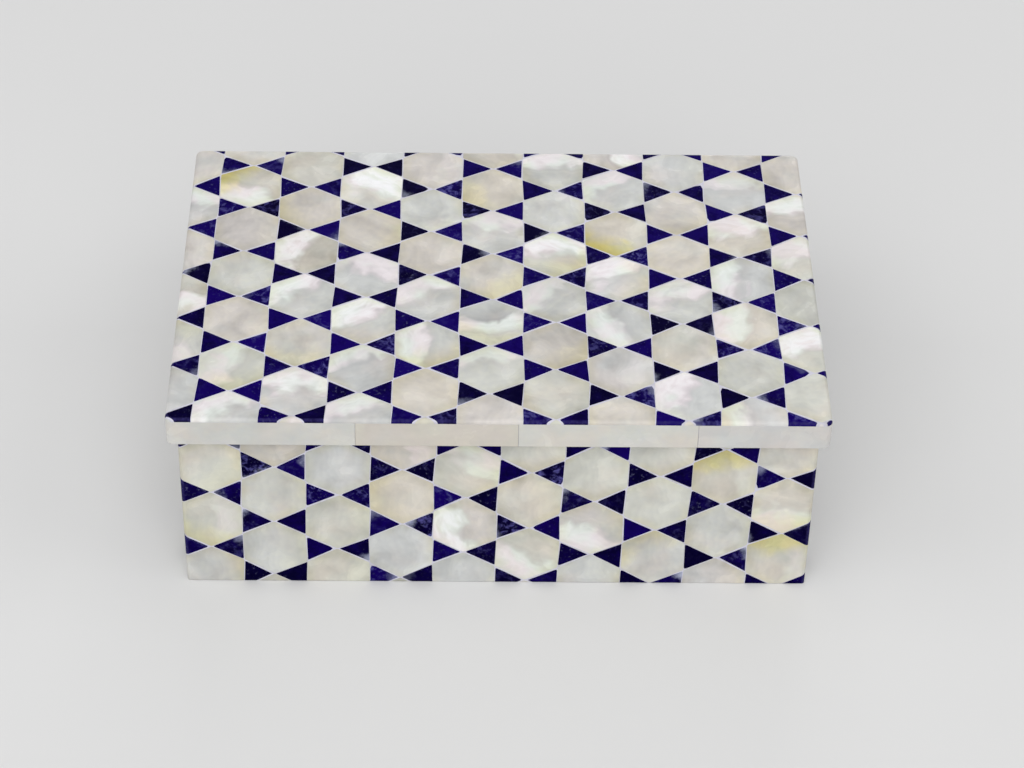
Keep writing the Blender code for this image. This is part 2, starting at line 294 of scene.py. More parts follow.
def fall(depth, radius):
    """How far a quarter circle has fallen at a distance inside the edge: r - sqrt(r^2 - (r - d)^2)."""
    if radius == 0:
        return np.zeros_like(depth)
    short = np.clip(radius - depth, 0, radius)
    return radius - np.sqrt(radius**2 - short**2)


def ground_height(face, points, sunk):
    """Height of the ground face at each (u, v). With a rounded corner, the depth is the distance to
    a rectangle with round corners. Otherwise the ends and the foot are rounded by themselves."""
    half = face.half - sunk
    if face.corner:
        corner = face.corner - sunk
        over = np.abs(points) - half + corner
        outside = np.linalg.norm(np.maximum(over, 0), axis=-1) + np.minimum(over.max(axis=-1), 0)
        return -sunk - fall(corner - outside, face.ends - sunk)
    ends = fall(half[0] - np.abs(points[:, 0]), max(face.ends - sunk, 0))
    foot = fall(half[1] + points[:, 1], max(face.bottom - sunk, 0))
    return -sunk - np.maximum(ends, foot)


def leaning(face, points):
    """How much the ground face leans at each (u, v), as the sine of twice its slope: 0 on the flat,
    1 at 45 degrees and 0 again where it stands upright. Two small steps give the slope."""
    step = 0.01 * MM
    here = ground_height(face, points, 0.0)
    rise_u, rise_v = (ground_height(face, points + step * axis, 0.0) - here for axis in np.eye(2))
    slope = np.hypot(rise_u, rise_v) / step
    return 2 * slope / (1 + slope**2)


def bisect(bm, point, outward, trim):
    geometry = bm.verts[:] + bm.edges[:] + bm.faces[:]
    bmesh.ops.bisect_plane(
        bm, geom=geometry, dist=SAME_PLACE, plane_co=(*point, 0), plane_no=(*outward, 0), clear_outer=trim
    )


def grind(bm, face, sunk, reach):
    """Trims the flat tiles at the face's outline, and cuts the lines that the rounding bends along."""
    half = face.half - sunk + np.array([reach, 0])
    angles = np.linspace(0, math.pi / 2, ROUND_STEPS + 1)[:-1]
    rounded = {0: (1, -1), 1: (-1, 1) if face.corner else (-1,)}
    for axis, radius in ((0, face.ends), (1, face.bottom)):
        for side in (1, -1):
            outward = side * np.eye(2)[axis]
            bisect(bm, outward * half[axis], outward, trim=True)
            if radius == 0 or side not in rounded[axis]:
                continue
            depths = [radius * (1 - math.sin(angle)) for angle in angles] + [radius * GUARD]
            if face.corner:
                depths += list(np.linspace(radius * GUARD, face.corner, 3)[1:])
            for depth in depths:
                bisect(bm, outward * (face.half[axis] - sunk - depth), outward, trim=False)
    if face.corner:
        centre = half - face.corner + sunk
        for quadrant in ((1, 1), (-1, 1), (-1, -1), (1, -1)):
            for angle in (np.arange(CORNER_STEPS) + 0.5) / CORNER_STEPS * math.pi / 2:
                outward = np.array(quadrant) * (math.cos(angle), math.sin(angle))
                bisect(bm, quadrant * centre + outward * (face.corner - sunk), outward, trim=True)


# %% [markdown]
# ## One mesh for all the tiles of a kind on a face
# The tiles start as one flat array: for each tile an inner ring at the surface and an outer ring a
# hair lower, which softens the rim. They go into a mesh, are ground, and get their sides and their
# undersides by extruding the open edges, so each tile is a closed solid. Every vertex carries the
# number of its tile through all this, because Blender gives a new vertex on a cut edge the values
# between its ends, and both ends have the same number. Asking for the nearest tile afterwards would
# go wrong at the tips, where two hexagons meet. The number then fetches the tile's looks: two colour
# attributes with eight values, and two UV maps, one turned to the tile's own grain and one not.

# %% Building tiles
RIM_WIDTH = 0.05 * MM
RIM_DROP = 0.04 * MM
SHARP = math.radians(30)


def ring_faces(tiles, sides):
    """For each tile, a cap inside its inner ring and a quad from each inner to each outer side."""
    first = np.arange(tiles)[:, None] * 2 * sides
    here = np.arange(sides)
    after = (here + 1) % sides
    caps = (first + here).tolist()
    quads = np.stack([first + here, first + sides + here, first + sides + after, first + after], axis=-1)
    return caps + quads.reshape(-1, 4).tolist()


def read_points(mesh):
    points = np.empty(len(mesh.vertices) * 3)
    mesh.vertices.foreach_get("co", points)
    return points.reshape(-1, 3)


def write(mesh, name, values):
    """Stores a value for every vertex: a number each, or a row of four numbers as a colour."""
    kind, field = ("FLOAT_COLOR", "color") if values.ndim == 2 else ("FLOAT", "value")
    mesh.attributes.new(name, kind, "POINT").data.foreach_set(field, values.ravel())


def write_uv(mesh, name, points):
    """Stores a map, which belongs to the corners of the faces: each takes its vertex's point."""
    corners = np.empty(len(mesh.loops), int)
    mesh.loops.foreach_get("vertex_index", corners)
    mesh.uv_layers.new(name=name).data.foreach_set("uv", points[corners].ravel())


def new_piece(mesh, material, replaced=()):
    """An object with the mesh's name, in the one body that the box is."""
    piece = bpy.data.objects.new(mesh.name, mesh)
    scene.collection.objects.link(piece)
    mesh.materials.append(material)
    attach(piece, "root")
    if replaced:
        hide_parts(*replaced)


def finish_mesh(mesh):
    """Turns every face outwards, and shades smoothly except across real edges."""
    bm = bmesh.new()
    bm.from_mesh(mesh)
    bmesh.ops.recalc_face_normals(bm, faces=bm.faces)
    bm.to_mesh(mesh)
    bm.free()
    mesh.shade_smooth()
    mesh.set_sharp_from_angle(angle=SHARP)


def tile_mesh(name, face, outlines, depth, sunk=0.0, reach=0.0):
    """Closed tiles on a face. Returns the mesh, and each vertex's (u, v, w) place and tile number."""
    inner = shrunk(outlines, RIM_WIDTH)
    rings = np.zeros((len(outlines), 2, outlines.shape[1], 3))
    rings[:, 0, :, :2] = inner
    rings[:, 1, :, :2] = outlines
    rings[:, 1, :, 2] = -RIM_DROP
    mesh = bpy.data.meshes.new(name)
    mesh.from_pydata(rings.reshape(-1, 3), [], ring_faces(len(outlines), outlines.shape[1]))
    write(mesh, "tile_number", np.repeat(np.arange(len(outlines)), 2 * outlines.shape[1]))

    bm = bmesh.new()
    bm.from_mesh(mesh)
    grind(bm, face, sunk, reach)
    rims = [edge for edge in bm.edges if edge.is_boundary]
    sides = bmesh.ops.extrude_edge_only(bm, edges=rims)["geom"]
    lower = [part for part in sides if isinstance(part, bmesh.types.BMVert)]
    bmesh.ops.translate(bm, verts=lower, vec=(0, 0, -depth))
    foot = [part for part in sides if isinstance(part, bmesh.types.BMEdge) and part.is_boundary]
    bmesh.ops.edgeloop_fill(bm, edges=foot)
    bm.to_mesh(mesh)
    bm.free()

    local = read_points(mesh)
    below = local[:, 2] < -depth + 2 * RIM_DROP
    local[~below, 2] += ground_height(face, local[~below, :2], sunk)
    local[below, 2] = -depth
    mesh.vertices.foreach_set("co", face.to_world(local).ravel())
    finish_mesh(mesh)
    number = mesh.attributes["tile_number"]
    tile = np.empty(len(mesh.vertices))
    number.data.foreach_get("value", tile)
    mesh.attributes.remove(number)
    return mesh, local, np.rint(tile).astype(int)


def give_looks(mesh, face, local, tile, middles, looks):
    """Writes each tile's looks on its vertices. The grain map is the place from the tile's middle,
    in tile sides, turned by the tile's own angle, and the rim map is the same place unturned. A
    painted shade slopes the tone along each tile: on the walls a pearl tile is painted darker towards
    its top and lighter towards its foot. The ground edge says where the face is rounded over."""
    place = (local[:, :2] - middles[tile]) / face.tile
    look = looks["look"][tile]
    # Painted shade: the tone slopes up or down each tile, darker at the top on the walls.
    look[:, 0] += looks["painted_shade"] * place[:, 1]
    write(mesh, "tile_look", look)
    write(mesh, "tile_flow", looks["flow"][tile])
    write(mesh, "ground_edge", leaning(face, local[:, :2]))
    angle = looks["angle"][tile]
    grain_u = place[:, 0] * np.cos(angle) + place[:, 1] * np.sin(angle)
    grain_v = place[:, 1] * np.cos(angle) - place[:, 0] * np.sin(angle)
    write_uv(mesh, "grain", np.stack([grain_u, grain_v], axis=-1))
    write_uv(mesh, "rim", place)


# %% [markdown]
# ## Looks of the single tiles
# Mother-of-pearl is cut from shells, and each tile comes from another spot: one is creamy, one is
# greyish green, one carries a bright shimmering flame, one is stained yellow near the shell's skin.
# Random numbers from a fixed seed choose for every tile first. Those that can be told apart in the
# picture are then named by their column and row, with how each one looks: how warm and how
# light the tile is, how strong the flame is and which way it lies, and on which side a yellow stain
# is. A second table does the same for the triangles that are cloudy, flecked or partly pale.

# %% Looks
PEARL_SEEN = {
    # face: {(column, row): (warmth, tone, flame, flame towards, stain, stain towards)}, in percent
    # and degrees, without the zeros at the end
    "lid_top": {
        (-5, 5): (80, 50, 10, 0, 10), (-5, 3): (30, 50, 60, 80), (-5, 1): (80, 50, 10),
        (-4, 4): (50, 50, 70, 240, 90, 140), (-4, -2): (90, 50, 10, 0, 10), (-2, 4): (50, 100, 160, 50),
        (-1, 5): (90, 45, 10), (-1, 3): (10, 70, 10), (-1, 1): (100, 45, 10),
        (-3, 3): (90, 40, 0, 0, 30, 200), (-2, 2): (90, 40, 10, 60, 20), (-3, 1): (70, 10, 80, 150),
        (-2, 0): (30, 60, 60, 70), (-3, -1): (20, 60, 80, 130), (-2, -2): (40, 70, 90, 130),
        (-1, -1): (40, 60, 60, 120), (-4, 2): (90, 20, 0, 0, 10), (-4, 0): (10, 40, 10),
        (-3, -3): (60, 40, 10, 0, 30, 270), (-3, -5): (60, 60, 80, 85), (-4, -6): (30, 60, 70, 120),
        (-2, -6): (40, 60, 60, 120), (0, 4): (80, 50, 0, 0, 35, 200), (0, 2): (40, 60, 50, 85),
        (0, 0): (60, 50, 10, 0, 35, 310), (1, 5): (10, 50, 70, 90), (1, 3): (15, 60, 10),
        (1, 1): (30, 60, 90, 80, 35, 300), (2, 4): (10, 75, 45, 130), (2, 2): (70, 50, 0, 0, 100, 235),
        (2, -4): (60, 50, 10), (3, 5): (30, 50, 0, 0, 10), (3, -3): (70, 50, 10),
        (4, 4): (40, 65, 30, 90), (2, 0): (30, 70, 80, 120, 20), (1, -1): (10, 50, 40, 140),
        (3, -1): (30, 60, 60, 110), (4, 2): (70, 60, 70, 100), (4, 0): (20, 50, 70, 170),
        (4, -2): (80, 60, 60, 160), (3, -5): (20, 70, 80, 160), (5, 5): (90, 50, 10, 0, 10),
        (5, 3): (80, 60, 80, 100), (5, 1): (30, 70, 60, 120), (5, -3): (30, 80, 90, 110),
    },
    "front": {
        (-5, 1): (30, 55, 0, 0, 15, 320), (-5, -3): (40, 50, 0, 0, 20), (-4, 0): (30, 50, 5, 0, 10),
        (-4, -2): (10, 50, 0, 0, 15), (-3, 1): (0, 60), (-3, -1): (20, 50, 0, 0, 10),
        (-3, -3): (40, 50, 0, 0, 10), (-2, 2): (100, 40, 30), (-2, -2): (20, 55),
        (-1, 1): (30, 60, 40, 60, 10), (-1, -1): (70, 60, 90, 200), (-1, -3): (10, 55),
        (-2, 0): (90, 50, 0, 0, 25, 200), (-5, -1): (30, 50, 20, 0, 40, 230), (0, 2): (30, 55),
        (0, 0): (60, 35, 0, 0, 10), (0, -2): (20, 60, 60, 230), (1, 1): (10, 60),
        (1, -1): (50, 50, 70, 250, 20), (1, -3): (20, 50, 0, 0, 10), (2, 2): (30, 55, 10),
        (2, 0): (10, 60), (3, 1): (50, 50, 20, 0, 75, 100), (3, -1): (20, 60, 10),
        (3, -3): (70, 50, 0, 0, 10), (4, 2): (60, 55, 0, 0, 10), (4, -2): (50, 50, 20, 0, 75, 90),
        (4, 0): (50, 70, 50, 270, 30, 270), (2, -2): (50, 50, 0, 0, 35, 120), (-4, 2): (90, 10, 30, 90),
    },
}
LAPIS_SEEN = {
    # face: {(column, row, side): (tone, clouding, flecks, pale, pale towards)}, likewise
    "lid_top": {
        (4, -3, -1): (50, 80, 50), (4, -3, 1): (80, 100, 100, 40, 30), (5, -2, -1): (60, 90, 60, 20),
        (4, -1, -1): (20, 60, 40, 70, 210), (3, -4, -1): (0, 0, 30, 60, 210),
        (2, -5, 1): (50, 100, 40, 50, 30), (3, -6, 1): (40, 90, 40, 70, 180),
        (-4, -1, 1): (60, 80, 40, 30, 180), (-1, 4, 1): (50, 100, 30, 20),
        (-4, 5, 1): (60, 30, 30, 60, 30), (-5, 2, 1): (70, 50, 30), (3, 4, -1): (20, 20, 100, 50, 150),
        (1, 0, 1): (40, 70, 40), (4, 1, 1): (30, 40, 50, 50, 30), (1, 4, 1): (50, 60, 30, 30, 180),
    },
    "front": {
        (-4, 1, 1): (50, 20, 30, 80, 30), (-4, -1, -1): (30, 20, 30, 90, 150),
        (-2, -1, 1): (10, 100, 50, 100, 150), (-3, 0, 1): (40, 60, 80), (-2, 1, 1): (10, 20, 100),
        (-5, -2, 1): (30, 30, 40, 70, 30), (-2, -3, -1): (60, 80, 30, 40),
        (1, 0, -1): (30, 30, 40, 90, 150), (0, -1, -1): (10, 90, 40, 50, 210),
        (2, -3, 1): (40, 30, 30, 100, 30), (3, -2, 1): (40, 40, 30, 90, 30),
        (4, 1, -1): (50, 20, 30, 60, 150), (3, 0, -1): (30, 20, 100), (3, 0, 1): (10, 20, 100),
    },
}
PEARL_SEED = 100
LAPIS_SEED = 500
LID_TONES = (3, 3)  # the two numbers of a beta distribution
WALL_TONES = (8, 11)
LID_LAPIS_TONES = (1.3, 1.6)
WALL_LAPIS_TONES = (1.3, 2.4)
WALL_WARMEST = 0.45
LID_SHIMMER_SHARE = 0.38
WALL_SHIMMER_SHARE = 0.25
# Painted shade on the wall tiles: darker towards each tile's top, lighter towards its foot.
WALL_PAINTED_SHADE = -0.20
STAIN_SHARE = 0.25
PALE_SHARE = 0.14


def seen_on(face, table, places, length):
    """The tiles of a face that stand in a table: each one's number, with its row filled up by zeros."""
    index = {tuple(place): number for number, place in enumerate(places.tolist())}
    for place, values in table.get(face.name, {}).items():
        yield index[place], np.array([*values, 0, 0, 0, 0][:length])


def pearl_looks(face, places):
    """Random looks for every pearl tile of a face, and then the ones seen. The first colour holds
    tone, warmth, shimmer and stain. The second holds a seed, where the flame crosses the tile, how
    wide it is, and the stain's direction in turns. A stronger flame is also a wider one."""
    draw = np.random.default_rng(PEARL_SEED + len(face.name) * 7)
    count = len(places)
    is_lid = face.corner > 0
    tone = draw.beta(*(LID_TONES if is_lid else WALL_TONES), count)
    warmth = draw.uniform(0, 1.0 if is_lid else WALL_WARMEST, count)
    share = LID_SHIMMER_SHARE if is_lid else WALL_SHIMMER_SHARE
    shimmer = np.where(draw.random(count) < share, draw.uniform(0.3, 0.9, count), 0.1 * draw.random(count))
    stain = np.where(draw.random(count) < STAIN_SHARE, draw.uniform(0.1, 0.4, count), 0.0)
    seed = draw.random(count)
    across = draw.uniform(0.1, 0.6, count)
    width = draw.uniform(0.3, 0.6, count)
    stain_turn = draw.random(count)
    towards = draw.uniform(0, 2 * math.pi, count)
    for tile, row in seen_on(face, PEARL_SEEN, places, 6):
        warmth[tile], tone[tile], flame, _, stain[tile], _ = row / 100
        towards[tile], stain_turn[tile] = math.radians(row[3]), row[5] / 360
        shimmer[tile], across[tile], width[tile] = min(flame, 1.0), 0.5, 0.35 + 0.4 * flame
    return {
        "look": np.stack([tone, warmth, shimmer, stain], axis=-1),
        "flow": np.stack([seed, across, width, stain_turn], axis=-1),
        "angle": towards - math.pi / 2,
        "painted_shade": 0.0 if is_lid else WALL_PAINTED_SHADE,
    }


def lapis_looks(face, places):
    """Random looks for every lapis tile, and then the ones seen: tone, clouding, flecks and how much
    of it is pale, and in the second colour a seed and the direction of the pale side in turns."""
    draw = np.random.default_rng(LAPIS_SEED + len(face.name) * 11)
    count = len(places)
    pale = np.where(draw.random(count) < PALE_SHARE, draw.uniform(0.3, 1.0, count), 0.0)
    tone = draw.beta(*(LID_LAPIS_TONES if face.corner else WALL_LAPIS_TONES), count)
    clouding = draw.random(count) ** 5
    look = np.stack([tone, clouding, draw.random(count) ** 2, pale], axis=-1)
    flow = np.zeros((count, 4))
    flow[:, 0] = draw.random(count)
    flow[:, 3] = draw.random(count)
    for tile, row in seen_on(face, LAPIS_SEEN, places, 5):
        look[tile], flow[tile, 3] = row[:4] / 100, row[4] / 360
    return {"look": look, "flow": flow, "angle": draw.uniform(0, 2 * math.pi, count), "painted_shade": 0.0}


# %% [markdown]
# ## Small helpers for shader nodes
# A material is a tree of nodes, and writing it out node by node hides what it does. Here the output
# of a node is wrapped in a small class that knows the signs of arithmetic, and each sign adds one
# more node to the tree. So a material can be read like the formula that it is.

# %% Node helpers
SEED_SPREAD = 60.0


class Output:
    """The output of a node. Arithmetic with it adds Math nodes to the same tree."""

    def __init__(self, socket):
        self.socket, self.tree = socket, socket.id_data

    def sibling(self, name):
        """Another output of the same node."""
        return Output(self.socket.node.outputs[name])

    def maths(self, operation, *others):
        return node(self.tree, "Math", self, *others, operation=operation)

    __add__ = partialmethod(maths, "ADD")
    __sub__ = partialmethod(maths, "SUBTRACT")
    __mul__ = partialmethod(maths, "MULTIPLY")
    __truediv__ = partialmethod(maths, "DIVIDE")
    __abs__ = partialmethod(maths, "ABSOLUTE")

    def dot(self, other):
        return node(self.tree, "VectorMath", self, other, operation="DOT_PRODUCT").sibling("Value")


def put(socket, value):
    """Links an output to an input, or sets the input's own value."""
    if isinstance(value, Output):
        value.tree.links.new(value.socket, socket)
    else:
        socket.default_value = value


def node(tree, kind, *values, **named):
    """Makes a node and returns its first output. Values go to its inputs in their order. A name in
    small letters is a setting of the node, and a name with a capital is one of its inputs."""
    made = tree.nodes.new(f"ShaderNode{kind}")
    for name, value in named.items():
        if name.islower():
            setattr(made, name, value)
        else:
            put(made.inputs[name], value)
    for socket, value in zip(made.inputs, values):
        put(socket, value)
    return Output(made.outputs[0])


def mix(factor, first, second, blend="MIX"):
    """Mixes two colours. The node keeps its colours on sockets 6 and 7, and their mix on output 2."""
    tree = next(value.tree for value in (factor, first) if isinstance(value, Output))
    mixed = node(tree, "Mix", factor, data_type="RGBA", blend_type=blend)
    put(mixed.socket.node.inputs[6], first)
    put(mixed.socket.node.inputs[7], second)
    return mixed.sibling(2)


def tinted(colour, tint, amount=1.0):
    """A colour times a tint, or times a plain number. A smaller amount does less of it."""
    return mix(amount, colour, tint, "MULTIPLY")


def smooth(value, low, high, start=0.0, end=1.0):
    """Runs softly from start to end as the value goes from low to high."""
    return node(value.tree, "MapRange", value, low, high, start, end, interpolation_type="SMOOTHSTEP")


def noise(place, seed, scale, detail=3.0, roughness=0.5, distortion=0.0):
    """4D noise, whose fourth number is the tile's seed, so that no two tiles are alike."""
    return node(
        place.tree, "TexNoise", noise_dimensions="4D", Vector=place, W=seed * SEED_SPREAD, Scale=scale,
        Detail=detail, Roughness=roughness, Distortion=distortion,
    )


def centred(value, amount):
    """Turns noise round a half into noise round nothing, this many times as strong."""
    return (value - 0.5) * amount


def direction(turn):
    """The unit vector (cos a, sin a, 0), where a is the given part of a full turn."""
    angle = turn * (2 * math.pi)
    return node(turn.tree, "CombineXYZ", angle.maths("COSINE"), angle.maths("SINE"), 0.0)


def bump(shader, height, strength, distance):
    """Lets a height lean the surface's normal, which catches the light without moving a point."""
    put(shader["Normal"], node(height.tree, "Bump", Strength=strength, Distance=distance, Height=height))


def new_group(name, inputs, outputs):
    """A node group with named sockets: a number, a colour, or a vector where no value is given."""
    group = bpy.data.node_groups.new(name, "ShaderNodeTree")
    for socket, value in inputs.items():
        kind = {float: "Float", tuple: "Color"}.get(type(value), "Vector")
        made = group.interface.new_socket(socket, in_out="INPUT", socket_type=f"NodeSocket{kind}")
        if value is not None:
            made.default_value = value
    for socket, kind in outputs.items():
        group.interface.new_socket(socket, in_out="OUTPUT", socket_type=f"NodeSocket{kind}")
    given = {socket.name: Output(socket) for socket in group.nodes.new("NodeGroupInput").outputs}
    return group, given, group.nodes.new("NodeGroupOutput").inputs


def new_material(name, roughness, specular):
    material = bpy.data.materials.new(name)
    material.use_nodes = True
    shader = material.node_tree.nodes["Principled BSDF"]
    shader.inputs["Roughness"].default_value = roughness
    shader.inputs["Specular IOR Level"].default_value = specular
    return material, material.node_tree, shader.inputs


def tile_inputs(tree):
    """What each tile carries: its two maps and its eight numbers."""
    carried = [node(tree, "UVMap", uv_map=name) for name in ("grain", "rim")]
    for name in ("tile_look", "tile_flow"):
        read = node(tree, "Attribute", attribute_name=name)
        red = node(tree, "SeparateColor", read)
        carried += [red, red.sibling("Green"), red.sibling("Blue"), read.sibling("Alpha")]
    return carried


def ground_edge(tree):
    """The rounded edge of a face, where the pearl keeps less polish than on the flat and the lapis carries a
    painted highlight.
    """
    return node(tree, "Attribute", attribute_name="ground_edge").sibling("Fac")


# %% [markdown]
# ## Mother-of-pearl
# Nacre is built of thin layers that grew one over the other. Where they lie flat the tile is quiet,
# creamy or greyish. Where they dip, light comes back in a bright flame with a hint of pink and
# green at its borders, and beside the flame the tile looks greyer. Fine growth lines run across.
# All of it is painted by one group from noise in the tile's own grain coordinates, and none of it
# depends on where the camera stands.

# %% Pearl group
COOL = (0.610, 0.620, 0.600, 1.0)
WARM = (0.655, 0.616, 0.578, 1.0)
BLUISH = (0.99, 0.995, 1.025, 1.0)
CREAMY = (1.01, 1.0, 0.935, 1.0)
FLAME = (0.955, 0.960, 0.975, 1.0)
PINK = (1.0, 0.86, 0.90, 1.0)
GREEN = (0.90, 1.0, 0.90, 1.0)
YELLOW = (0.95, 0.88, 0.34, 1.0)
OLIVE = (0.905, 0.895, 0.74, 1.0)
SHADOW = (0.72, 0.70, 0.73, 1.0)

STREAKS = (1.0, 1.7, 1.0)
CLOUD_BEND = 1.6  # how far the clouds push the flame and the stain about, in tile sides
DARKEST_PEARL = 0.83
TONE_RANGE = 0.30
TROUGH = 0.7
FRINGE = 2.2
LINE_CONTRAST = 0.012
BORDER = 0.60

pearl_group, given, result = new_group(
    "pearl_figure",
    {
        "Grain": None, "Rim": None, "Tone": 0.5, "Warmth": 0.5, "Shimmer": 0.0, "Stain": 0.0,
        "Seed": 0.5, "Across": 0.3, "Width": 0.4, "Stain Turn": 0.0, "Lines": 1.0, "Contrast": 1.0,
    },
    {"Color": "Color", "Cloud": "Float", "Height": "Float"},
)


def paint_pearl(tree):
    """Quiet colour first, then the flame with a darker trough beside it and a coloured fringe, then
    the growth lines, the yellow stain, and an olive border along the tile's six sides."""
    grain, rim, seed, shimmer = (given[name] for name in ("Grain", "Rim", "Seed", "Shimmer"))
    across = node(tree, "SeparateXYZ", grain).sibling("Y")
    streaky = node(tree, "VectorMath", grain, STREAKS, operation="MULTIPLY")

    cloud = noise(grain, seed, 1.1, detail=2.5, distortion=0.5)
    folds = noise(streaky, seed + 0.31, 1.1, distortion=1.0)
    tint = noise(grain, seed + 0.57, 0.9, detail=2.0)
    mottle = noise(grain, seed + 0.83, 5.0)

    warmth = given["Warmth"] + centred(tint, 2.6)
    cream = (seed * 13.7).maths("FRACT") + centred(mottle, 0.8)
    colour = mix(smooth(warmth, 0.0, 1.0), COOL, WARM)
    colour = tinted(colour, mix(smooth(cream, 0.0, 1.0), BLUISH, CREAMY))
    unevenness = centred(cloud, 0.80) + centred(mottle, 0.18) + across * 0.05
    lightness = given["Tone"] * TONE_RANGE + DARKEST_PEARL
    colour = tinted(colour, lightness + unevenness * given["Contrast"])

    offset = across + centred(cloud, CLOUD_BEND) - given["Across"]
    ridge = smooth(abs(folds - 0.5), 0.0, 0.22, 1.0, 0.60)
    flame = smooth(abs(offset) / given["Width"], 0.25, 1.0, 1.0, 0.0) * ridge * shimmer
    trough = smooth(offset, -0.75, -0.4) * smooth(offset, -0.4, -0.1, 1.0, 0.0) * (shimmer * TROUGH)
    fringe = (flame - flame * flame) * FRINGE
    colour = mix(flame, tinted(colour, SHADOW, trough), FLAME)
    colour = tinted(colour, mix(smooth(tint, 0.40, 0.60), PINK, GREEN), fringe)

    lines = (across * 30.0 + cloud * 40.0).maths("SINE") * given["Lines"]
    colour = tinted(colour, lines * LINE_CONTRAST + 1.0)

    towards = rim.dot(direction(given["Stain Turn"])) + centred(cloud, CLOUD_BEND)
    colour = tinted(colour, YELLOW, smooth(towards, 0.0, 0.8) * given["Stain"])

    reach = 0.0
    for angle in (0, math.pi / 3, 2 * math.pi / 3):
        normal = (math.cos(angle), math.sin(angle), 0.0)
        reach = abs(rim.dot(normal)).maths("MAXIMUM", reach)
    border = smooth(reach, 0.52, 0.86) * smooth(tint, 0.36, 0.60) * BORDER

    put(result["Color"], tinted(colour, OLIVE, border))
    put(result["Cloud"], cloud)
    put(result["Height"], cloud + lines * 0.04)


paint_pearl(pearl_group)
print("pearl group has", len(pearl_group.nodes), "nodes")


# %% Pearl materials
def pearl_material(name, lines, contrast):
    """The group's inputs stand in the same order as what a tile carries."""
    material, tree, shader = new_material(name, roughness=0.2, specular=0.3)
    colour = node(tree, "Group", *tile_inputs(tree), lines, contrast, node_tree=pearl_group)
    put(shader["Base Color"], colour)
    polish = smooth(colour.sibling("Cloud"), 0.3, 0.7, 0.16, 0.30)
    put(shader["Roughness"], polish + ground_edge(tree) * 0.25)
    bump(shader, colour.sibling("Height"), 0.25, 0.02 * MM)
    return material


pearl = pearl_material("mother_of_pearl", lines=1.0, contrast=1.0)
edge_pearl = pearl_material("edge_pearl", lines=0.5, contrast=0.4)

# %% [markdown]
# ## Lapis
# The blue stone is nearly black in this light, with a violet tinge. What tells it from paint is its
# unevenness: cloudy patches where it is paler and greyer, fine white flecks, and a few tiles whose
# one corner is mostly pale matrix stone. Along the rounded edges a paler violet band is a painted highlight.

# %% Lapis
DARKEST = (0.0012, 0.0001, 0.020, 1.0)
NAVY = (0.0068, 0.0004, 0.112, 1.0)
PATCH = (0.088, 0.082, 0.285, 1.0)
FLECK = (0.22, 0.23, 0.40, 1.0)
MATRIX = (0.42, 0.45, 0.58, 1.0)
EDGE_HIGHLIGHT = (0.034, 0.028, 0.125, 1.0)

lapis, tree, shader = new_material("lapis_stone", roughness=0.3, specular=0.01)
grain, rim, tone, clouding, flecked, pale, seed, _, _, turn = tile_inputs(tree)
grit = noise(grain, seed, 3.0, detail=6.0, roughness=0.65)
mottle = noise(grain, seed + 0.4, 4.5, detail=4.0, roughness=0.6, distortion=0.8)
fine = noise(grain, seed + 0.8, 12.0)
colour = mix(smooth(tone + centred(grit, 1.4), 0.0, 1.0), DARKEST, NAVY)
colour = mix(smooth(mottle, 0.48, 0.68) * clouding, colour, PATCH)
colour = mix(smooth(fine, 0.58, 0.72) * flecked * 0.30, colour, FLECK)
towards = rim.dot(direction(turn)) + grit * 0.8
colour = mix(smooth(towards, 0.55, 0.95) * pale, colour, MATRIX)
# Painted highlight: a paler violet band on the rounded edge, strongest where it leans 45 degrees.
colour = mix(ground_edge(tree) * smooth(fine, 0.35, 0.65, 0.35, 0.85), colour, EDGE_HIGHLIGHT)
put(shader["Base Color"], colour)
put(shader["Roughness"], smooth(grit, 0.3, 0.7, 0.22, 0.36))
bump(shader, grit, 0.3, 0.02 * MM)
print("lapis has", len(tree.nodes), "nodes")

# %% [markdown]
# ## Putty and marble
# The joints are filled with white putty, matt beside the polished tiles. The body and the lid are
# white marble: soft grey clouds, and a few veins where two noises cross. Both patterns read Object
# coordinates, because these pieces never leave their place.

# %% Putty and marble
PUTTY = (0.64, 0.63, 0.73, 1.0)
PUTTY_DARK = (0.52, 0.505, 0.555, 1.0)
MARBLE = (0.76, 0.75, 0.72, 1.0)
MARBLE_GREY = (0.50, 0.50, 0.50, 1.0)

VEIN_SHIFT = (0.37, 0.21, 0.13)  # picks the part of the endless noise that the box is cut from

stone_group, given, result = new_group(
    "stone_clouds",
    {"Scale": 30.0, "First": PUTTY, "Second": PUTTY_DARK, "Veins": 0.0},
    {"Color": "Color", "Mask": "Float"},
)
place = node(stone_group, "TexCoord").sibling("Object")
place = node(stone_group, "VectorMath", place, VEIN_SHIFT, operation="ADD")
scale = given["Scale"]
broad = node(stone_group, "TexNoise", Vector=place, Scale=scale, Detail=6.0, Distortion=0.6)
crossing = node(stone_group, "TexNoise", Vector=place, Scale=scale * 0.4, Detail=8.0, Distortion=1.8)
vein = smooth(abs(crossing - 0.5), 0.0, 0.03, 1.0, 0.0) * given["Veins"]
mask = smooth(broad, 0.45, 0.75).maths("MAXIMUM", vein)
put(result["Color"], mix(mask, given["First"], given["Second"]))
put(result["Mask"], mask)


def stone_material(name, scale, first, second, veins, roughness, specular):
    material, tree, shader = new_material(name, roughness, specular)
    colour = node(tree, "Group", scale, first, second, veins, node_tree=stone_group)
    mask = colour.sibling("Mask")
    put(shader["Base Color"], colour)
    put(shader["Roughness"], smooth(mask, 0.0, 1.0, roughness, roughness + 0.1))
    bump(shader, mask, 0.2, 0.03 * MM)
    return material


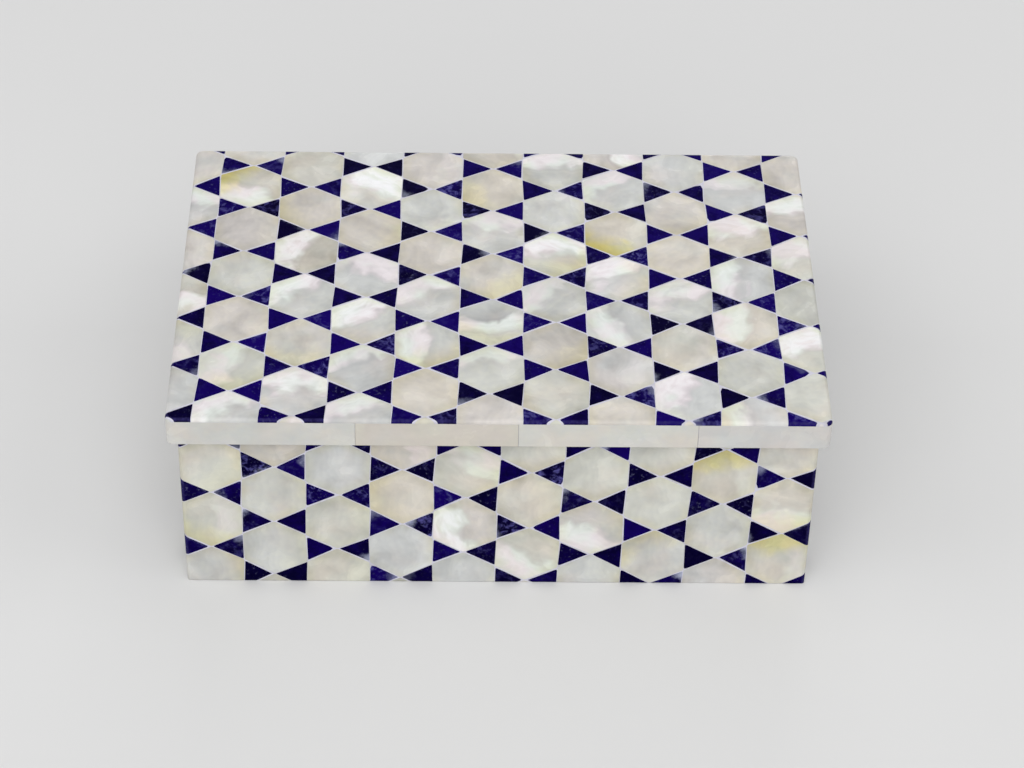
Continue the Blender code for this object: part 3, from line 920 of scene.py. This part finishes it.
putty = stone_material("white_putty", 260.0, PUTTY, PUTTY_DARK, 0.0, 0.6, 0.2)
marble = stone_material("white_marble", 28.0, MARBLE, MARBLE_GREY, 0.6, 0.25, 0.5)
light, dark = ((FLOOR_GREY * part,) * 3 + (1.0,) for part in (1.0, 0.99))
floor_paint = stone_material("floor_paint", 2.0, light, dark, 0.0, 0.8, 0.0)

bpy.ops.mesh.primitive_plane_add(size=FLOOR_SIZE)
floor = bpy.context.object
floor.name = "floor"
floor.data.materials.append(floor_paint)
for name in ("box_body", "lid_slab"):
    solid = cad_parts[name]
    for material_slot in solid.material_slots:
        material_slot.material = marble

# %% [markdown]
# ## Laying the tiles
# Now each face is laid: the pearl, the lapis and the bed of putty that fills the joints. The bed is
# one plate, a few hundredths of a millimetre below the tiles, and it goes through the same grinding.

# %% Lay the faces
LAYING_SEED = 900
PEARL_JOINT = 0.05 * MM
LID_JOINT = (0.15, 0.41)  # the least and the most in millimetres, as in the other pairs here
WALL_JOINT = (0.12, 0.38)
UPRIGHT_JOINT = 0.13 * MM
PUTTY_SUNK = 0.04 * MM
LID_BED_DEPTH = 0.96 * MM
WALL_BED_DEPTH = 2.25 * MM
SEAM = 0.3 * MM
CLEAR = 0.01 * MM
PEARL_CUT = (0.15, 0.45)
LAPIS_CUT = (0.15, 0.75)
LAPIS_SLIP = 0.13 * MM
CHIP_SHARE = 0.05
CHIP_CUT = (1.0, 2.2)


def set_in(face, triangles, joints):
    """Each triangle with its two slanting sides moved in by its own joint j, and its upright side by
    the narrow upright joint. Moving all three by j takes 3 j off the height, so the shape then grows
    from its tip by (j - upright joint) / (height - 3 j)."""
    smaller = shrunk(triangles, joints)
    growth = (joints - UPRIGHT_JOINT) / (face.tile * math.sqrt(3) / 2 - 3 * joints)
    tips = smaller[:, :1]
    return tips + (smaller - tips) * (1 + growth)


def lay_tiles(face, kind, material, outlines, middles, looks):
    mesh, local, tile = tile_mesh(f"{face.name}_{kind}_tiles", face, outlines, face.thickness)
    give_looks(mesh, face, local, tile, middles, looks)
    new_piece(mesh, material, [f"{face.name}_{kind}"])


def lay_face(face):
    draw = np.random.default_rng(LAYING_SEED + len(face.name) * 13)
    hexagons, middles, places = hexagon_outlines(face)
    cuts = draw.uniform(*PEARL_CUT, hexagons.shape[:2]) * MM
    outlines = blunted(shrunk(hexagons, PEARL_JOINT), cuts)
    lay_tiles(face, "pearl", pearl, outlines, middles, pearl_looks(face, places))

    triangles, middles, places = triangle_outlines(face)
    cuts = draw.uniform(*LAPIS_CUT, triangles.shape[:2])
    chipped = draw.random(triangles.shape[:2]) < CHIP_SHARE
    cuts = np.where(chipped, draw.uniform(*CHIP_CUT, triangles.shape[:2]), cuts) * MM
    slip = draw.uniform(-LAPIS_SLIP, LAPIS_SLIP, triangles.shape)
    joint = LID_JOINT if face.corner else WALL_JOINT
    joints = draw.uniform(*joint, (len(triangles), 1, 1)) * MM
    outlines = blunted(set_in(face, triangles, joints) + slip, cuts)
    lay_tiles(face, "lapis", lapis, outlines, middles, lapis_looks(face, places))

    sheet = np.array([[[-1, -1], [1, -1], [1, 1], [-1, 1]]]) * (face.half + face.tile)
    reach = 0.0 if face.ends else SEAM + PUTTY_SUNK - CLEAR
    depth = LID_BED_DEPTH if face.corner else WALL_BED_DEPTH
    mesh, _, _ = tile_mesh(f"{face.name}_putty_bed", face, sheet, depth, sunk=PUTTY_SUNK, reach=reach)
    new_piece(mesh, putty)
    print(face.name, "laid")


for face in FACES:
    lay_face(face)

# %% [markdown]
# ## The lid's edge strips
# Round the lid's edge run plain strips of pearl, butted end to end. A strip is one profile carried
# along its stretch of the lid's outline: upright outside, softened at the foot, and square behind.
# The end strips of the front and the back turn the lid's corners, so their outline goes on round a
# quarter circle. The same function makes the slivers of putty in the butt joints, by starting a
# little further in.

# %% Strip shape
STRIP_TOP = FACES[0].middle[2] - LID_BED_DEPTH - CLEAR
STRIP_FOOT = 0.22 * MM
STRIP_CHAMFER = 0.05 * MM
FOOT_STEPS = 4
STATIONS = 7
BUTT_JOINT = 0.06 * MM
BUTT_SUNK = 0.03 * MM
LID_HALF = FACES[0].half


def strip_path(start, end, out, thickness, turns):
    """Places along a strip's outer outline, the inward direction at each, and the places behind.

    All are (s, o): s along the side from its middle, and o outwards. A strip that turns a corner
    runs straight to where the rounding starts, then along centre + r * (sin a, cos a) for a from 0
    to 90 degrees, and ends level with its back.
    """
    first, last = sorted((abs(start), abs(end))) if turns else (start, end)
    stop = last - LID_CORNER if turns else last
    straight = np.array([first, first + STRIP_CHAMFER, *np.linspace(first, stop, STATIONS)[1:]])
    if not turns:
        straight = np.insert(straight, -1, stop - STRIP_CHAMFER)
    flat = np.ones_like(straight)
    outer = np.stack([straight, out * flat], axis=-1)
    inward = np.stack([0 * flat, -flat], axis=-1)
    behind = np.stack([np.minimum(straight, last - thickness), (out - thickness) * flat], axis=-1)
    if turns:
        angle = np.linspace(0, math.pi / 2, CORNER_STEPS + 1)[1:]
        round_way = np.stack([np.sin(angle), np.cos(angle)], axis=-1)
        centre = np.array([last, out]) - LID_CORNER
        end_place = [[last, out - thickness + STRIP_CHAMFER], [last, out - thickness]]
        outer = np.concatenate([outer, centre + LID_CORNER * round_way, end_place])
        inward = np.concatenate([inward, -round_way, [[-1, 0], [-1, 0]]])
        spread = np.linspace(0, STRIP_FOOT, len(angle) + 3)[1:]
        corner_behind = np.stack([last - thickness + spread, 0 * spread + out - thickness], axis=-1)
        behind[-1, 0] = last - thickness
        behind = np.concatenate([behind, corner_behind])
        if start < 0:
            outer, inward, behind = (part * (-1, 1) for part in (outer, inward, behind))
    return outer, inward, behind


def strip_mesh(name, along, outwards, path, bottom, inset=0.0, chamfer=STRIP_CHAMFER):
    """A closed solid: the point at station i and profile step j is the outline's place i, moved in
    by the profile's depth j, at the profile's height j. The profile's first and last steps lie on
    the places behind. The end stations are drawn in by the chamfer."""
    outer, inward, behind = path
    foot = np.linspace(0, math.pi / 2, FOOT_STEPS + 1)
    depth = np.concatenate([[STRIP_CHAMFER, 0], STRIP_FOOT * (1 - np.cos(foot))]) + inset
    height = bottom + STRIP_FOOT * (1 - np.sin(foot))
    height = np.concatenate([[STRIP_TOP, STRIP_TOP - STRIP_CHAMFER], height])
    height[-1] = bottom
    flat = outer[:, None] + inward[:, None] * depth[:, None]
    flat[[0, -1]] += inward[[0, -1], None] * chamfer
    flat = np.concatenate([behind[:, None], flat, behind[:, None]], axis=1)
    height = np.concatenate([[STRIP_TOP], height, [bottom]])
    points = flat[..., :1] * along + flat[..., 1:] * outwards + height[:, None] * Z

    stations, steps = points.shape[:2]
    index = np.arange(stations * steps).reshape(stations, steps)
    after = np.roll(index, -1, axis=1)
    quads = np.stack([index[:-1], after[:-1], after[1:], index[1:]], axis=-1).reshape(-1, 4).tolist()
    mesh = bpy.data.meshes.new(name)
    mesh.from_pydata(points.reshape(-1, 3), [], quads + [index[0].tolist(), index[-1].tolist()])
    finish_mesh(mesh)
    run = np.linalg.norm(np.diff(outer, axis=0), axis=-1)
    run = outer[0, 0] + np.concatenate([[0], np.cumsum(run)])
    across = np.linalg.norm(np.diff(np.stack([flat[2, :, 1], height], axis=-1), axis=0), axis=-1)
    across = np.concatenate([[0], np.cumsum(across)])
    return mesh, np.stack(np.meshgrid(run, across, indexing="ij"), axis=-1).reshape(-1, 2)


# %% Lay the strips
SIDES = {
    # name: (number of strips, along, outwards, half the lid across)
    "front": (4, X, -Y, LID_HALF[1]),
    "back": (4, X, Y, LID_HALF[1]),
    "left": (3, Y, -X, LID_HALF[0]),
    "right": (3, Y, X, LID_HALF[0]),
}
STRIP_LOOKS = {
    # strip: (tone, warmth, shimmer, stain)
    "front_1": (0.60, 0.35, 0.1, 0.05),
    "front_2": (0.36, 0.90, 0.1, 0.0),
    "front_3": (0.76, 0.45, 0.1, 0.0),
    "front_4": (0.46, 0.50, 0.1, 0.05),
}
STRIP_PAINTED_SHADE = 0.16
STRIP_SEED = 40


def strip_looks(name, down, draw):
    """One tone, warmth, shimmer and stain for the whole strip, and a flame that lies across it. The
    tone rises a little from the strip's top, where down is 0, to its foot, where down is 1: a painted
    shade, darker at the top and lighter at the foot."""
    tone, warmth = draw.uniform(0.4, 0.7), draw.uniform(0.2, 0.9)
    look = STRIP_LOOKS.get(name, (tone, warmth, 0.15, 0.0))
    flow = (draw.random(), draw.uniform(-2, 2), 0.7, 0.5)
    look = np.tile(look, (len(down), 1))
    # Painted shade: each strip darker at its top and lighter at its foot.
    look[:, 0] += STRIP_PAINTED_SHADE * (down - 0.5)
    return look, np.tile(flow, (len(down), 1))


def lay_strips(side):
    """The strips of one side, each over the node of its number, with putty in their joints."""
    count, along, outwards, out = SIDES[side]
    draw = np.random.default_rng(STRIP_SEED + len(side))
    ends = []
    for number in range(1, count + 1):
        low, high = (np.array(place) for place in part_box(f"lid_edge_{side}_{number}"))
        start, end = sorted((along @ low, along @ high))
        thickness = abs(outwards @ (high - low))
        turns = abs(along[0]) == 1 and number in (1, count)
        spare = (SEAM - BUTT_JOINT) / 2
        start -= 0 if turns and number == 1 else spare
        end += 0 if turns and number == count else spare
        path = strip_path(start, end, out, thickness, turns)
        mesh, flat = strip_mesh(f"lid_strip_{side}_{number}", along, outwards, path, low[2])
        down = (STRIP_TOP - read_points(mesh)[:, 2]) / (STRIP_TOP - low[2])
        look, flow = strip_looks(f"{side}_{number}", down, draw)
        write(mesh, "tile_look", look)
        write(mesh, "tile_flow", flow)
        write_uv(mesh, "grain", flat / LID_TILE)
        write_uv(mesh, "rim", flat * 0)
        new_piece(mesh, edge_pearl, [f"lid_edge_{side}_{number}"])
        ends.append((start, end))
    for number, (before, after) in enumerate(zip(ends, ends[1:]), 1):
        path = strip_path(before[1], after[0], out, thickness, turns=False)
        bottom = low[2] + BUTT_SUNK
        mesh, _ = strip_mesh(f"{side}_joint_{number}", along, outwards, path, bottom, BUTT_SUNK, 0.0)
        new_piece(mesh, putty)
    print(side, "strips end at", np.round(np.array(ends) / MM, 2).tolist())


for side in SIDES:
    lay_strips(side)
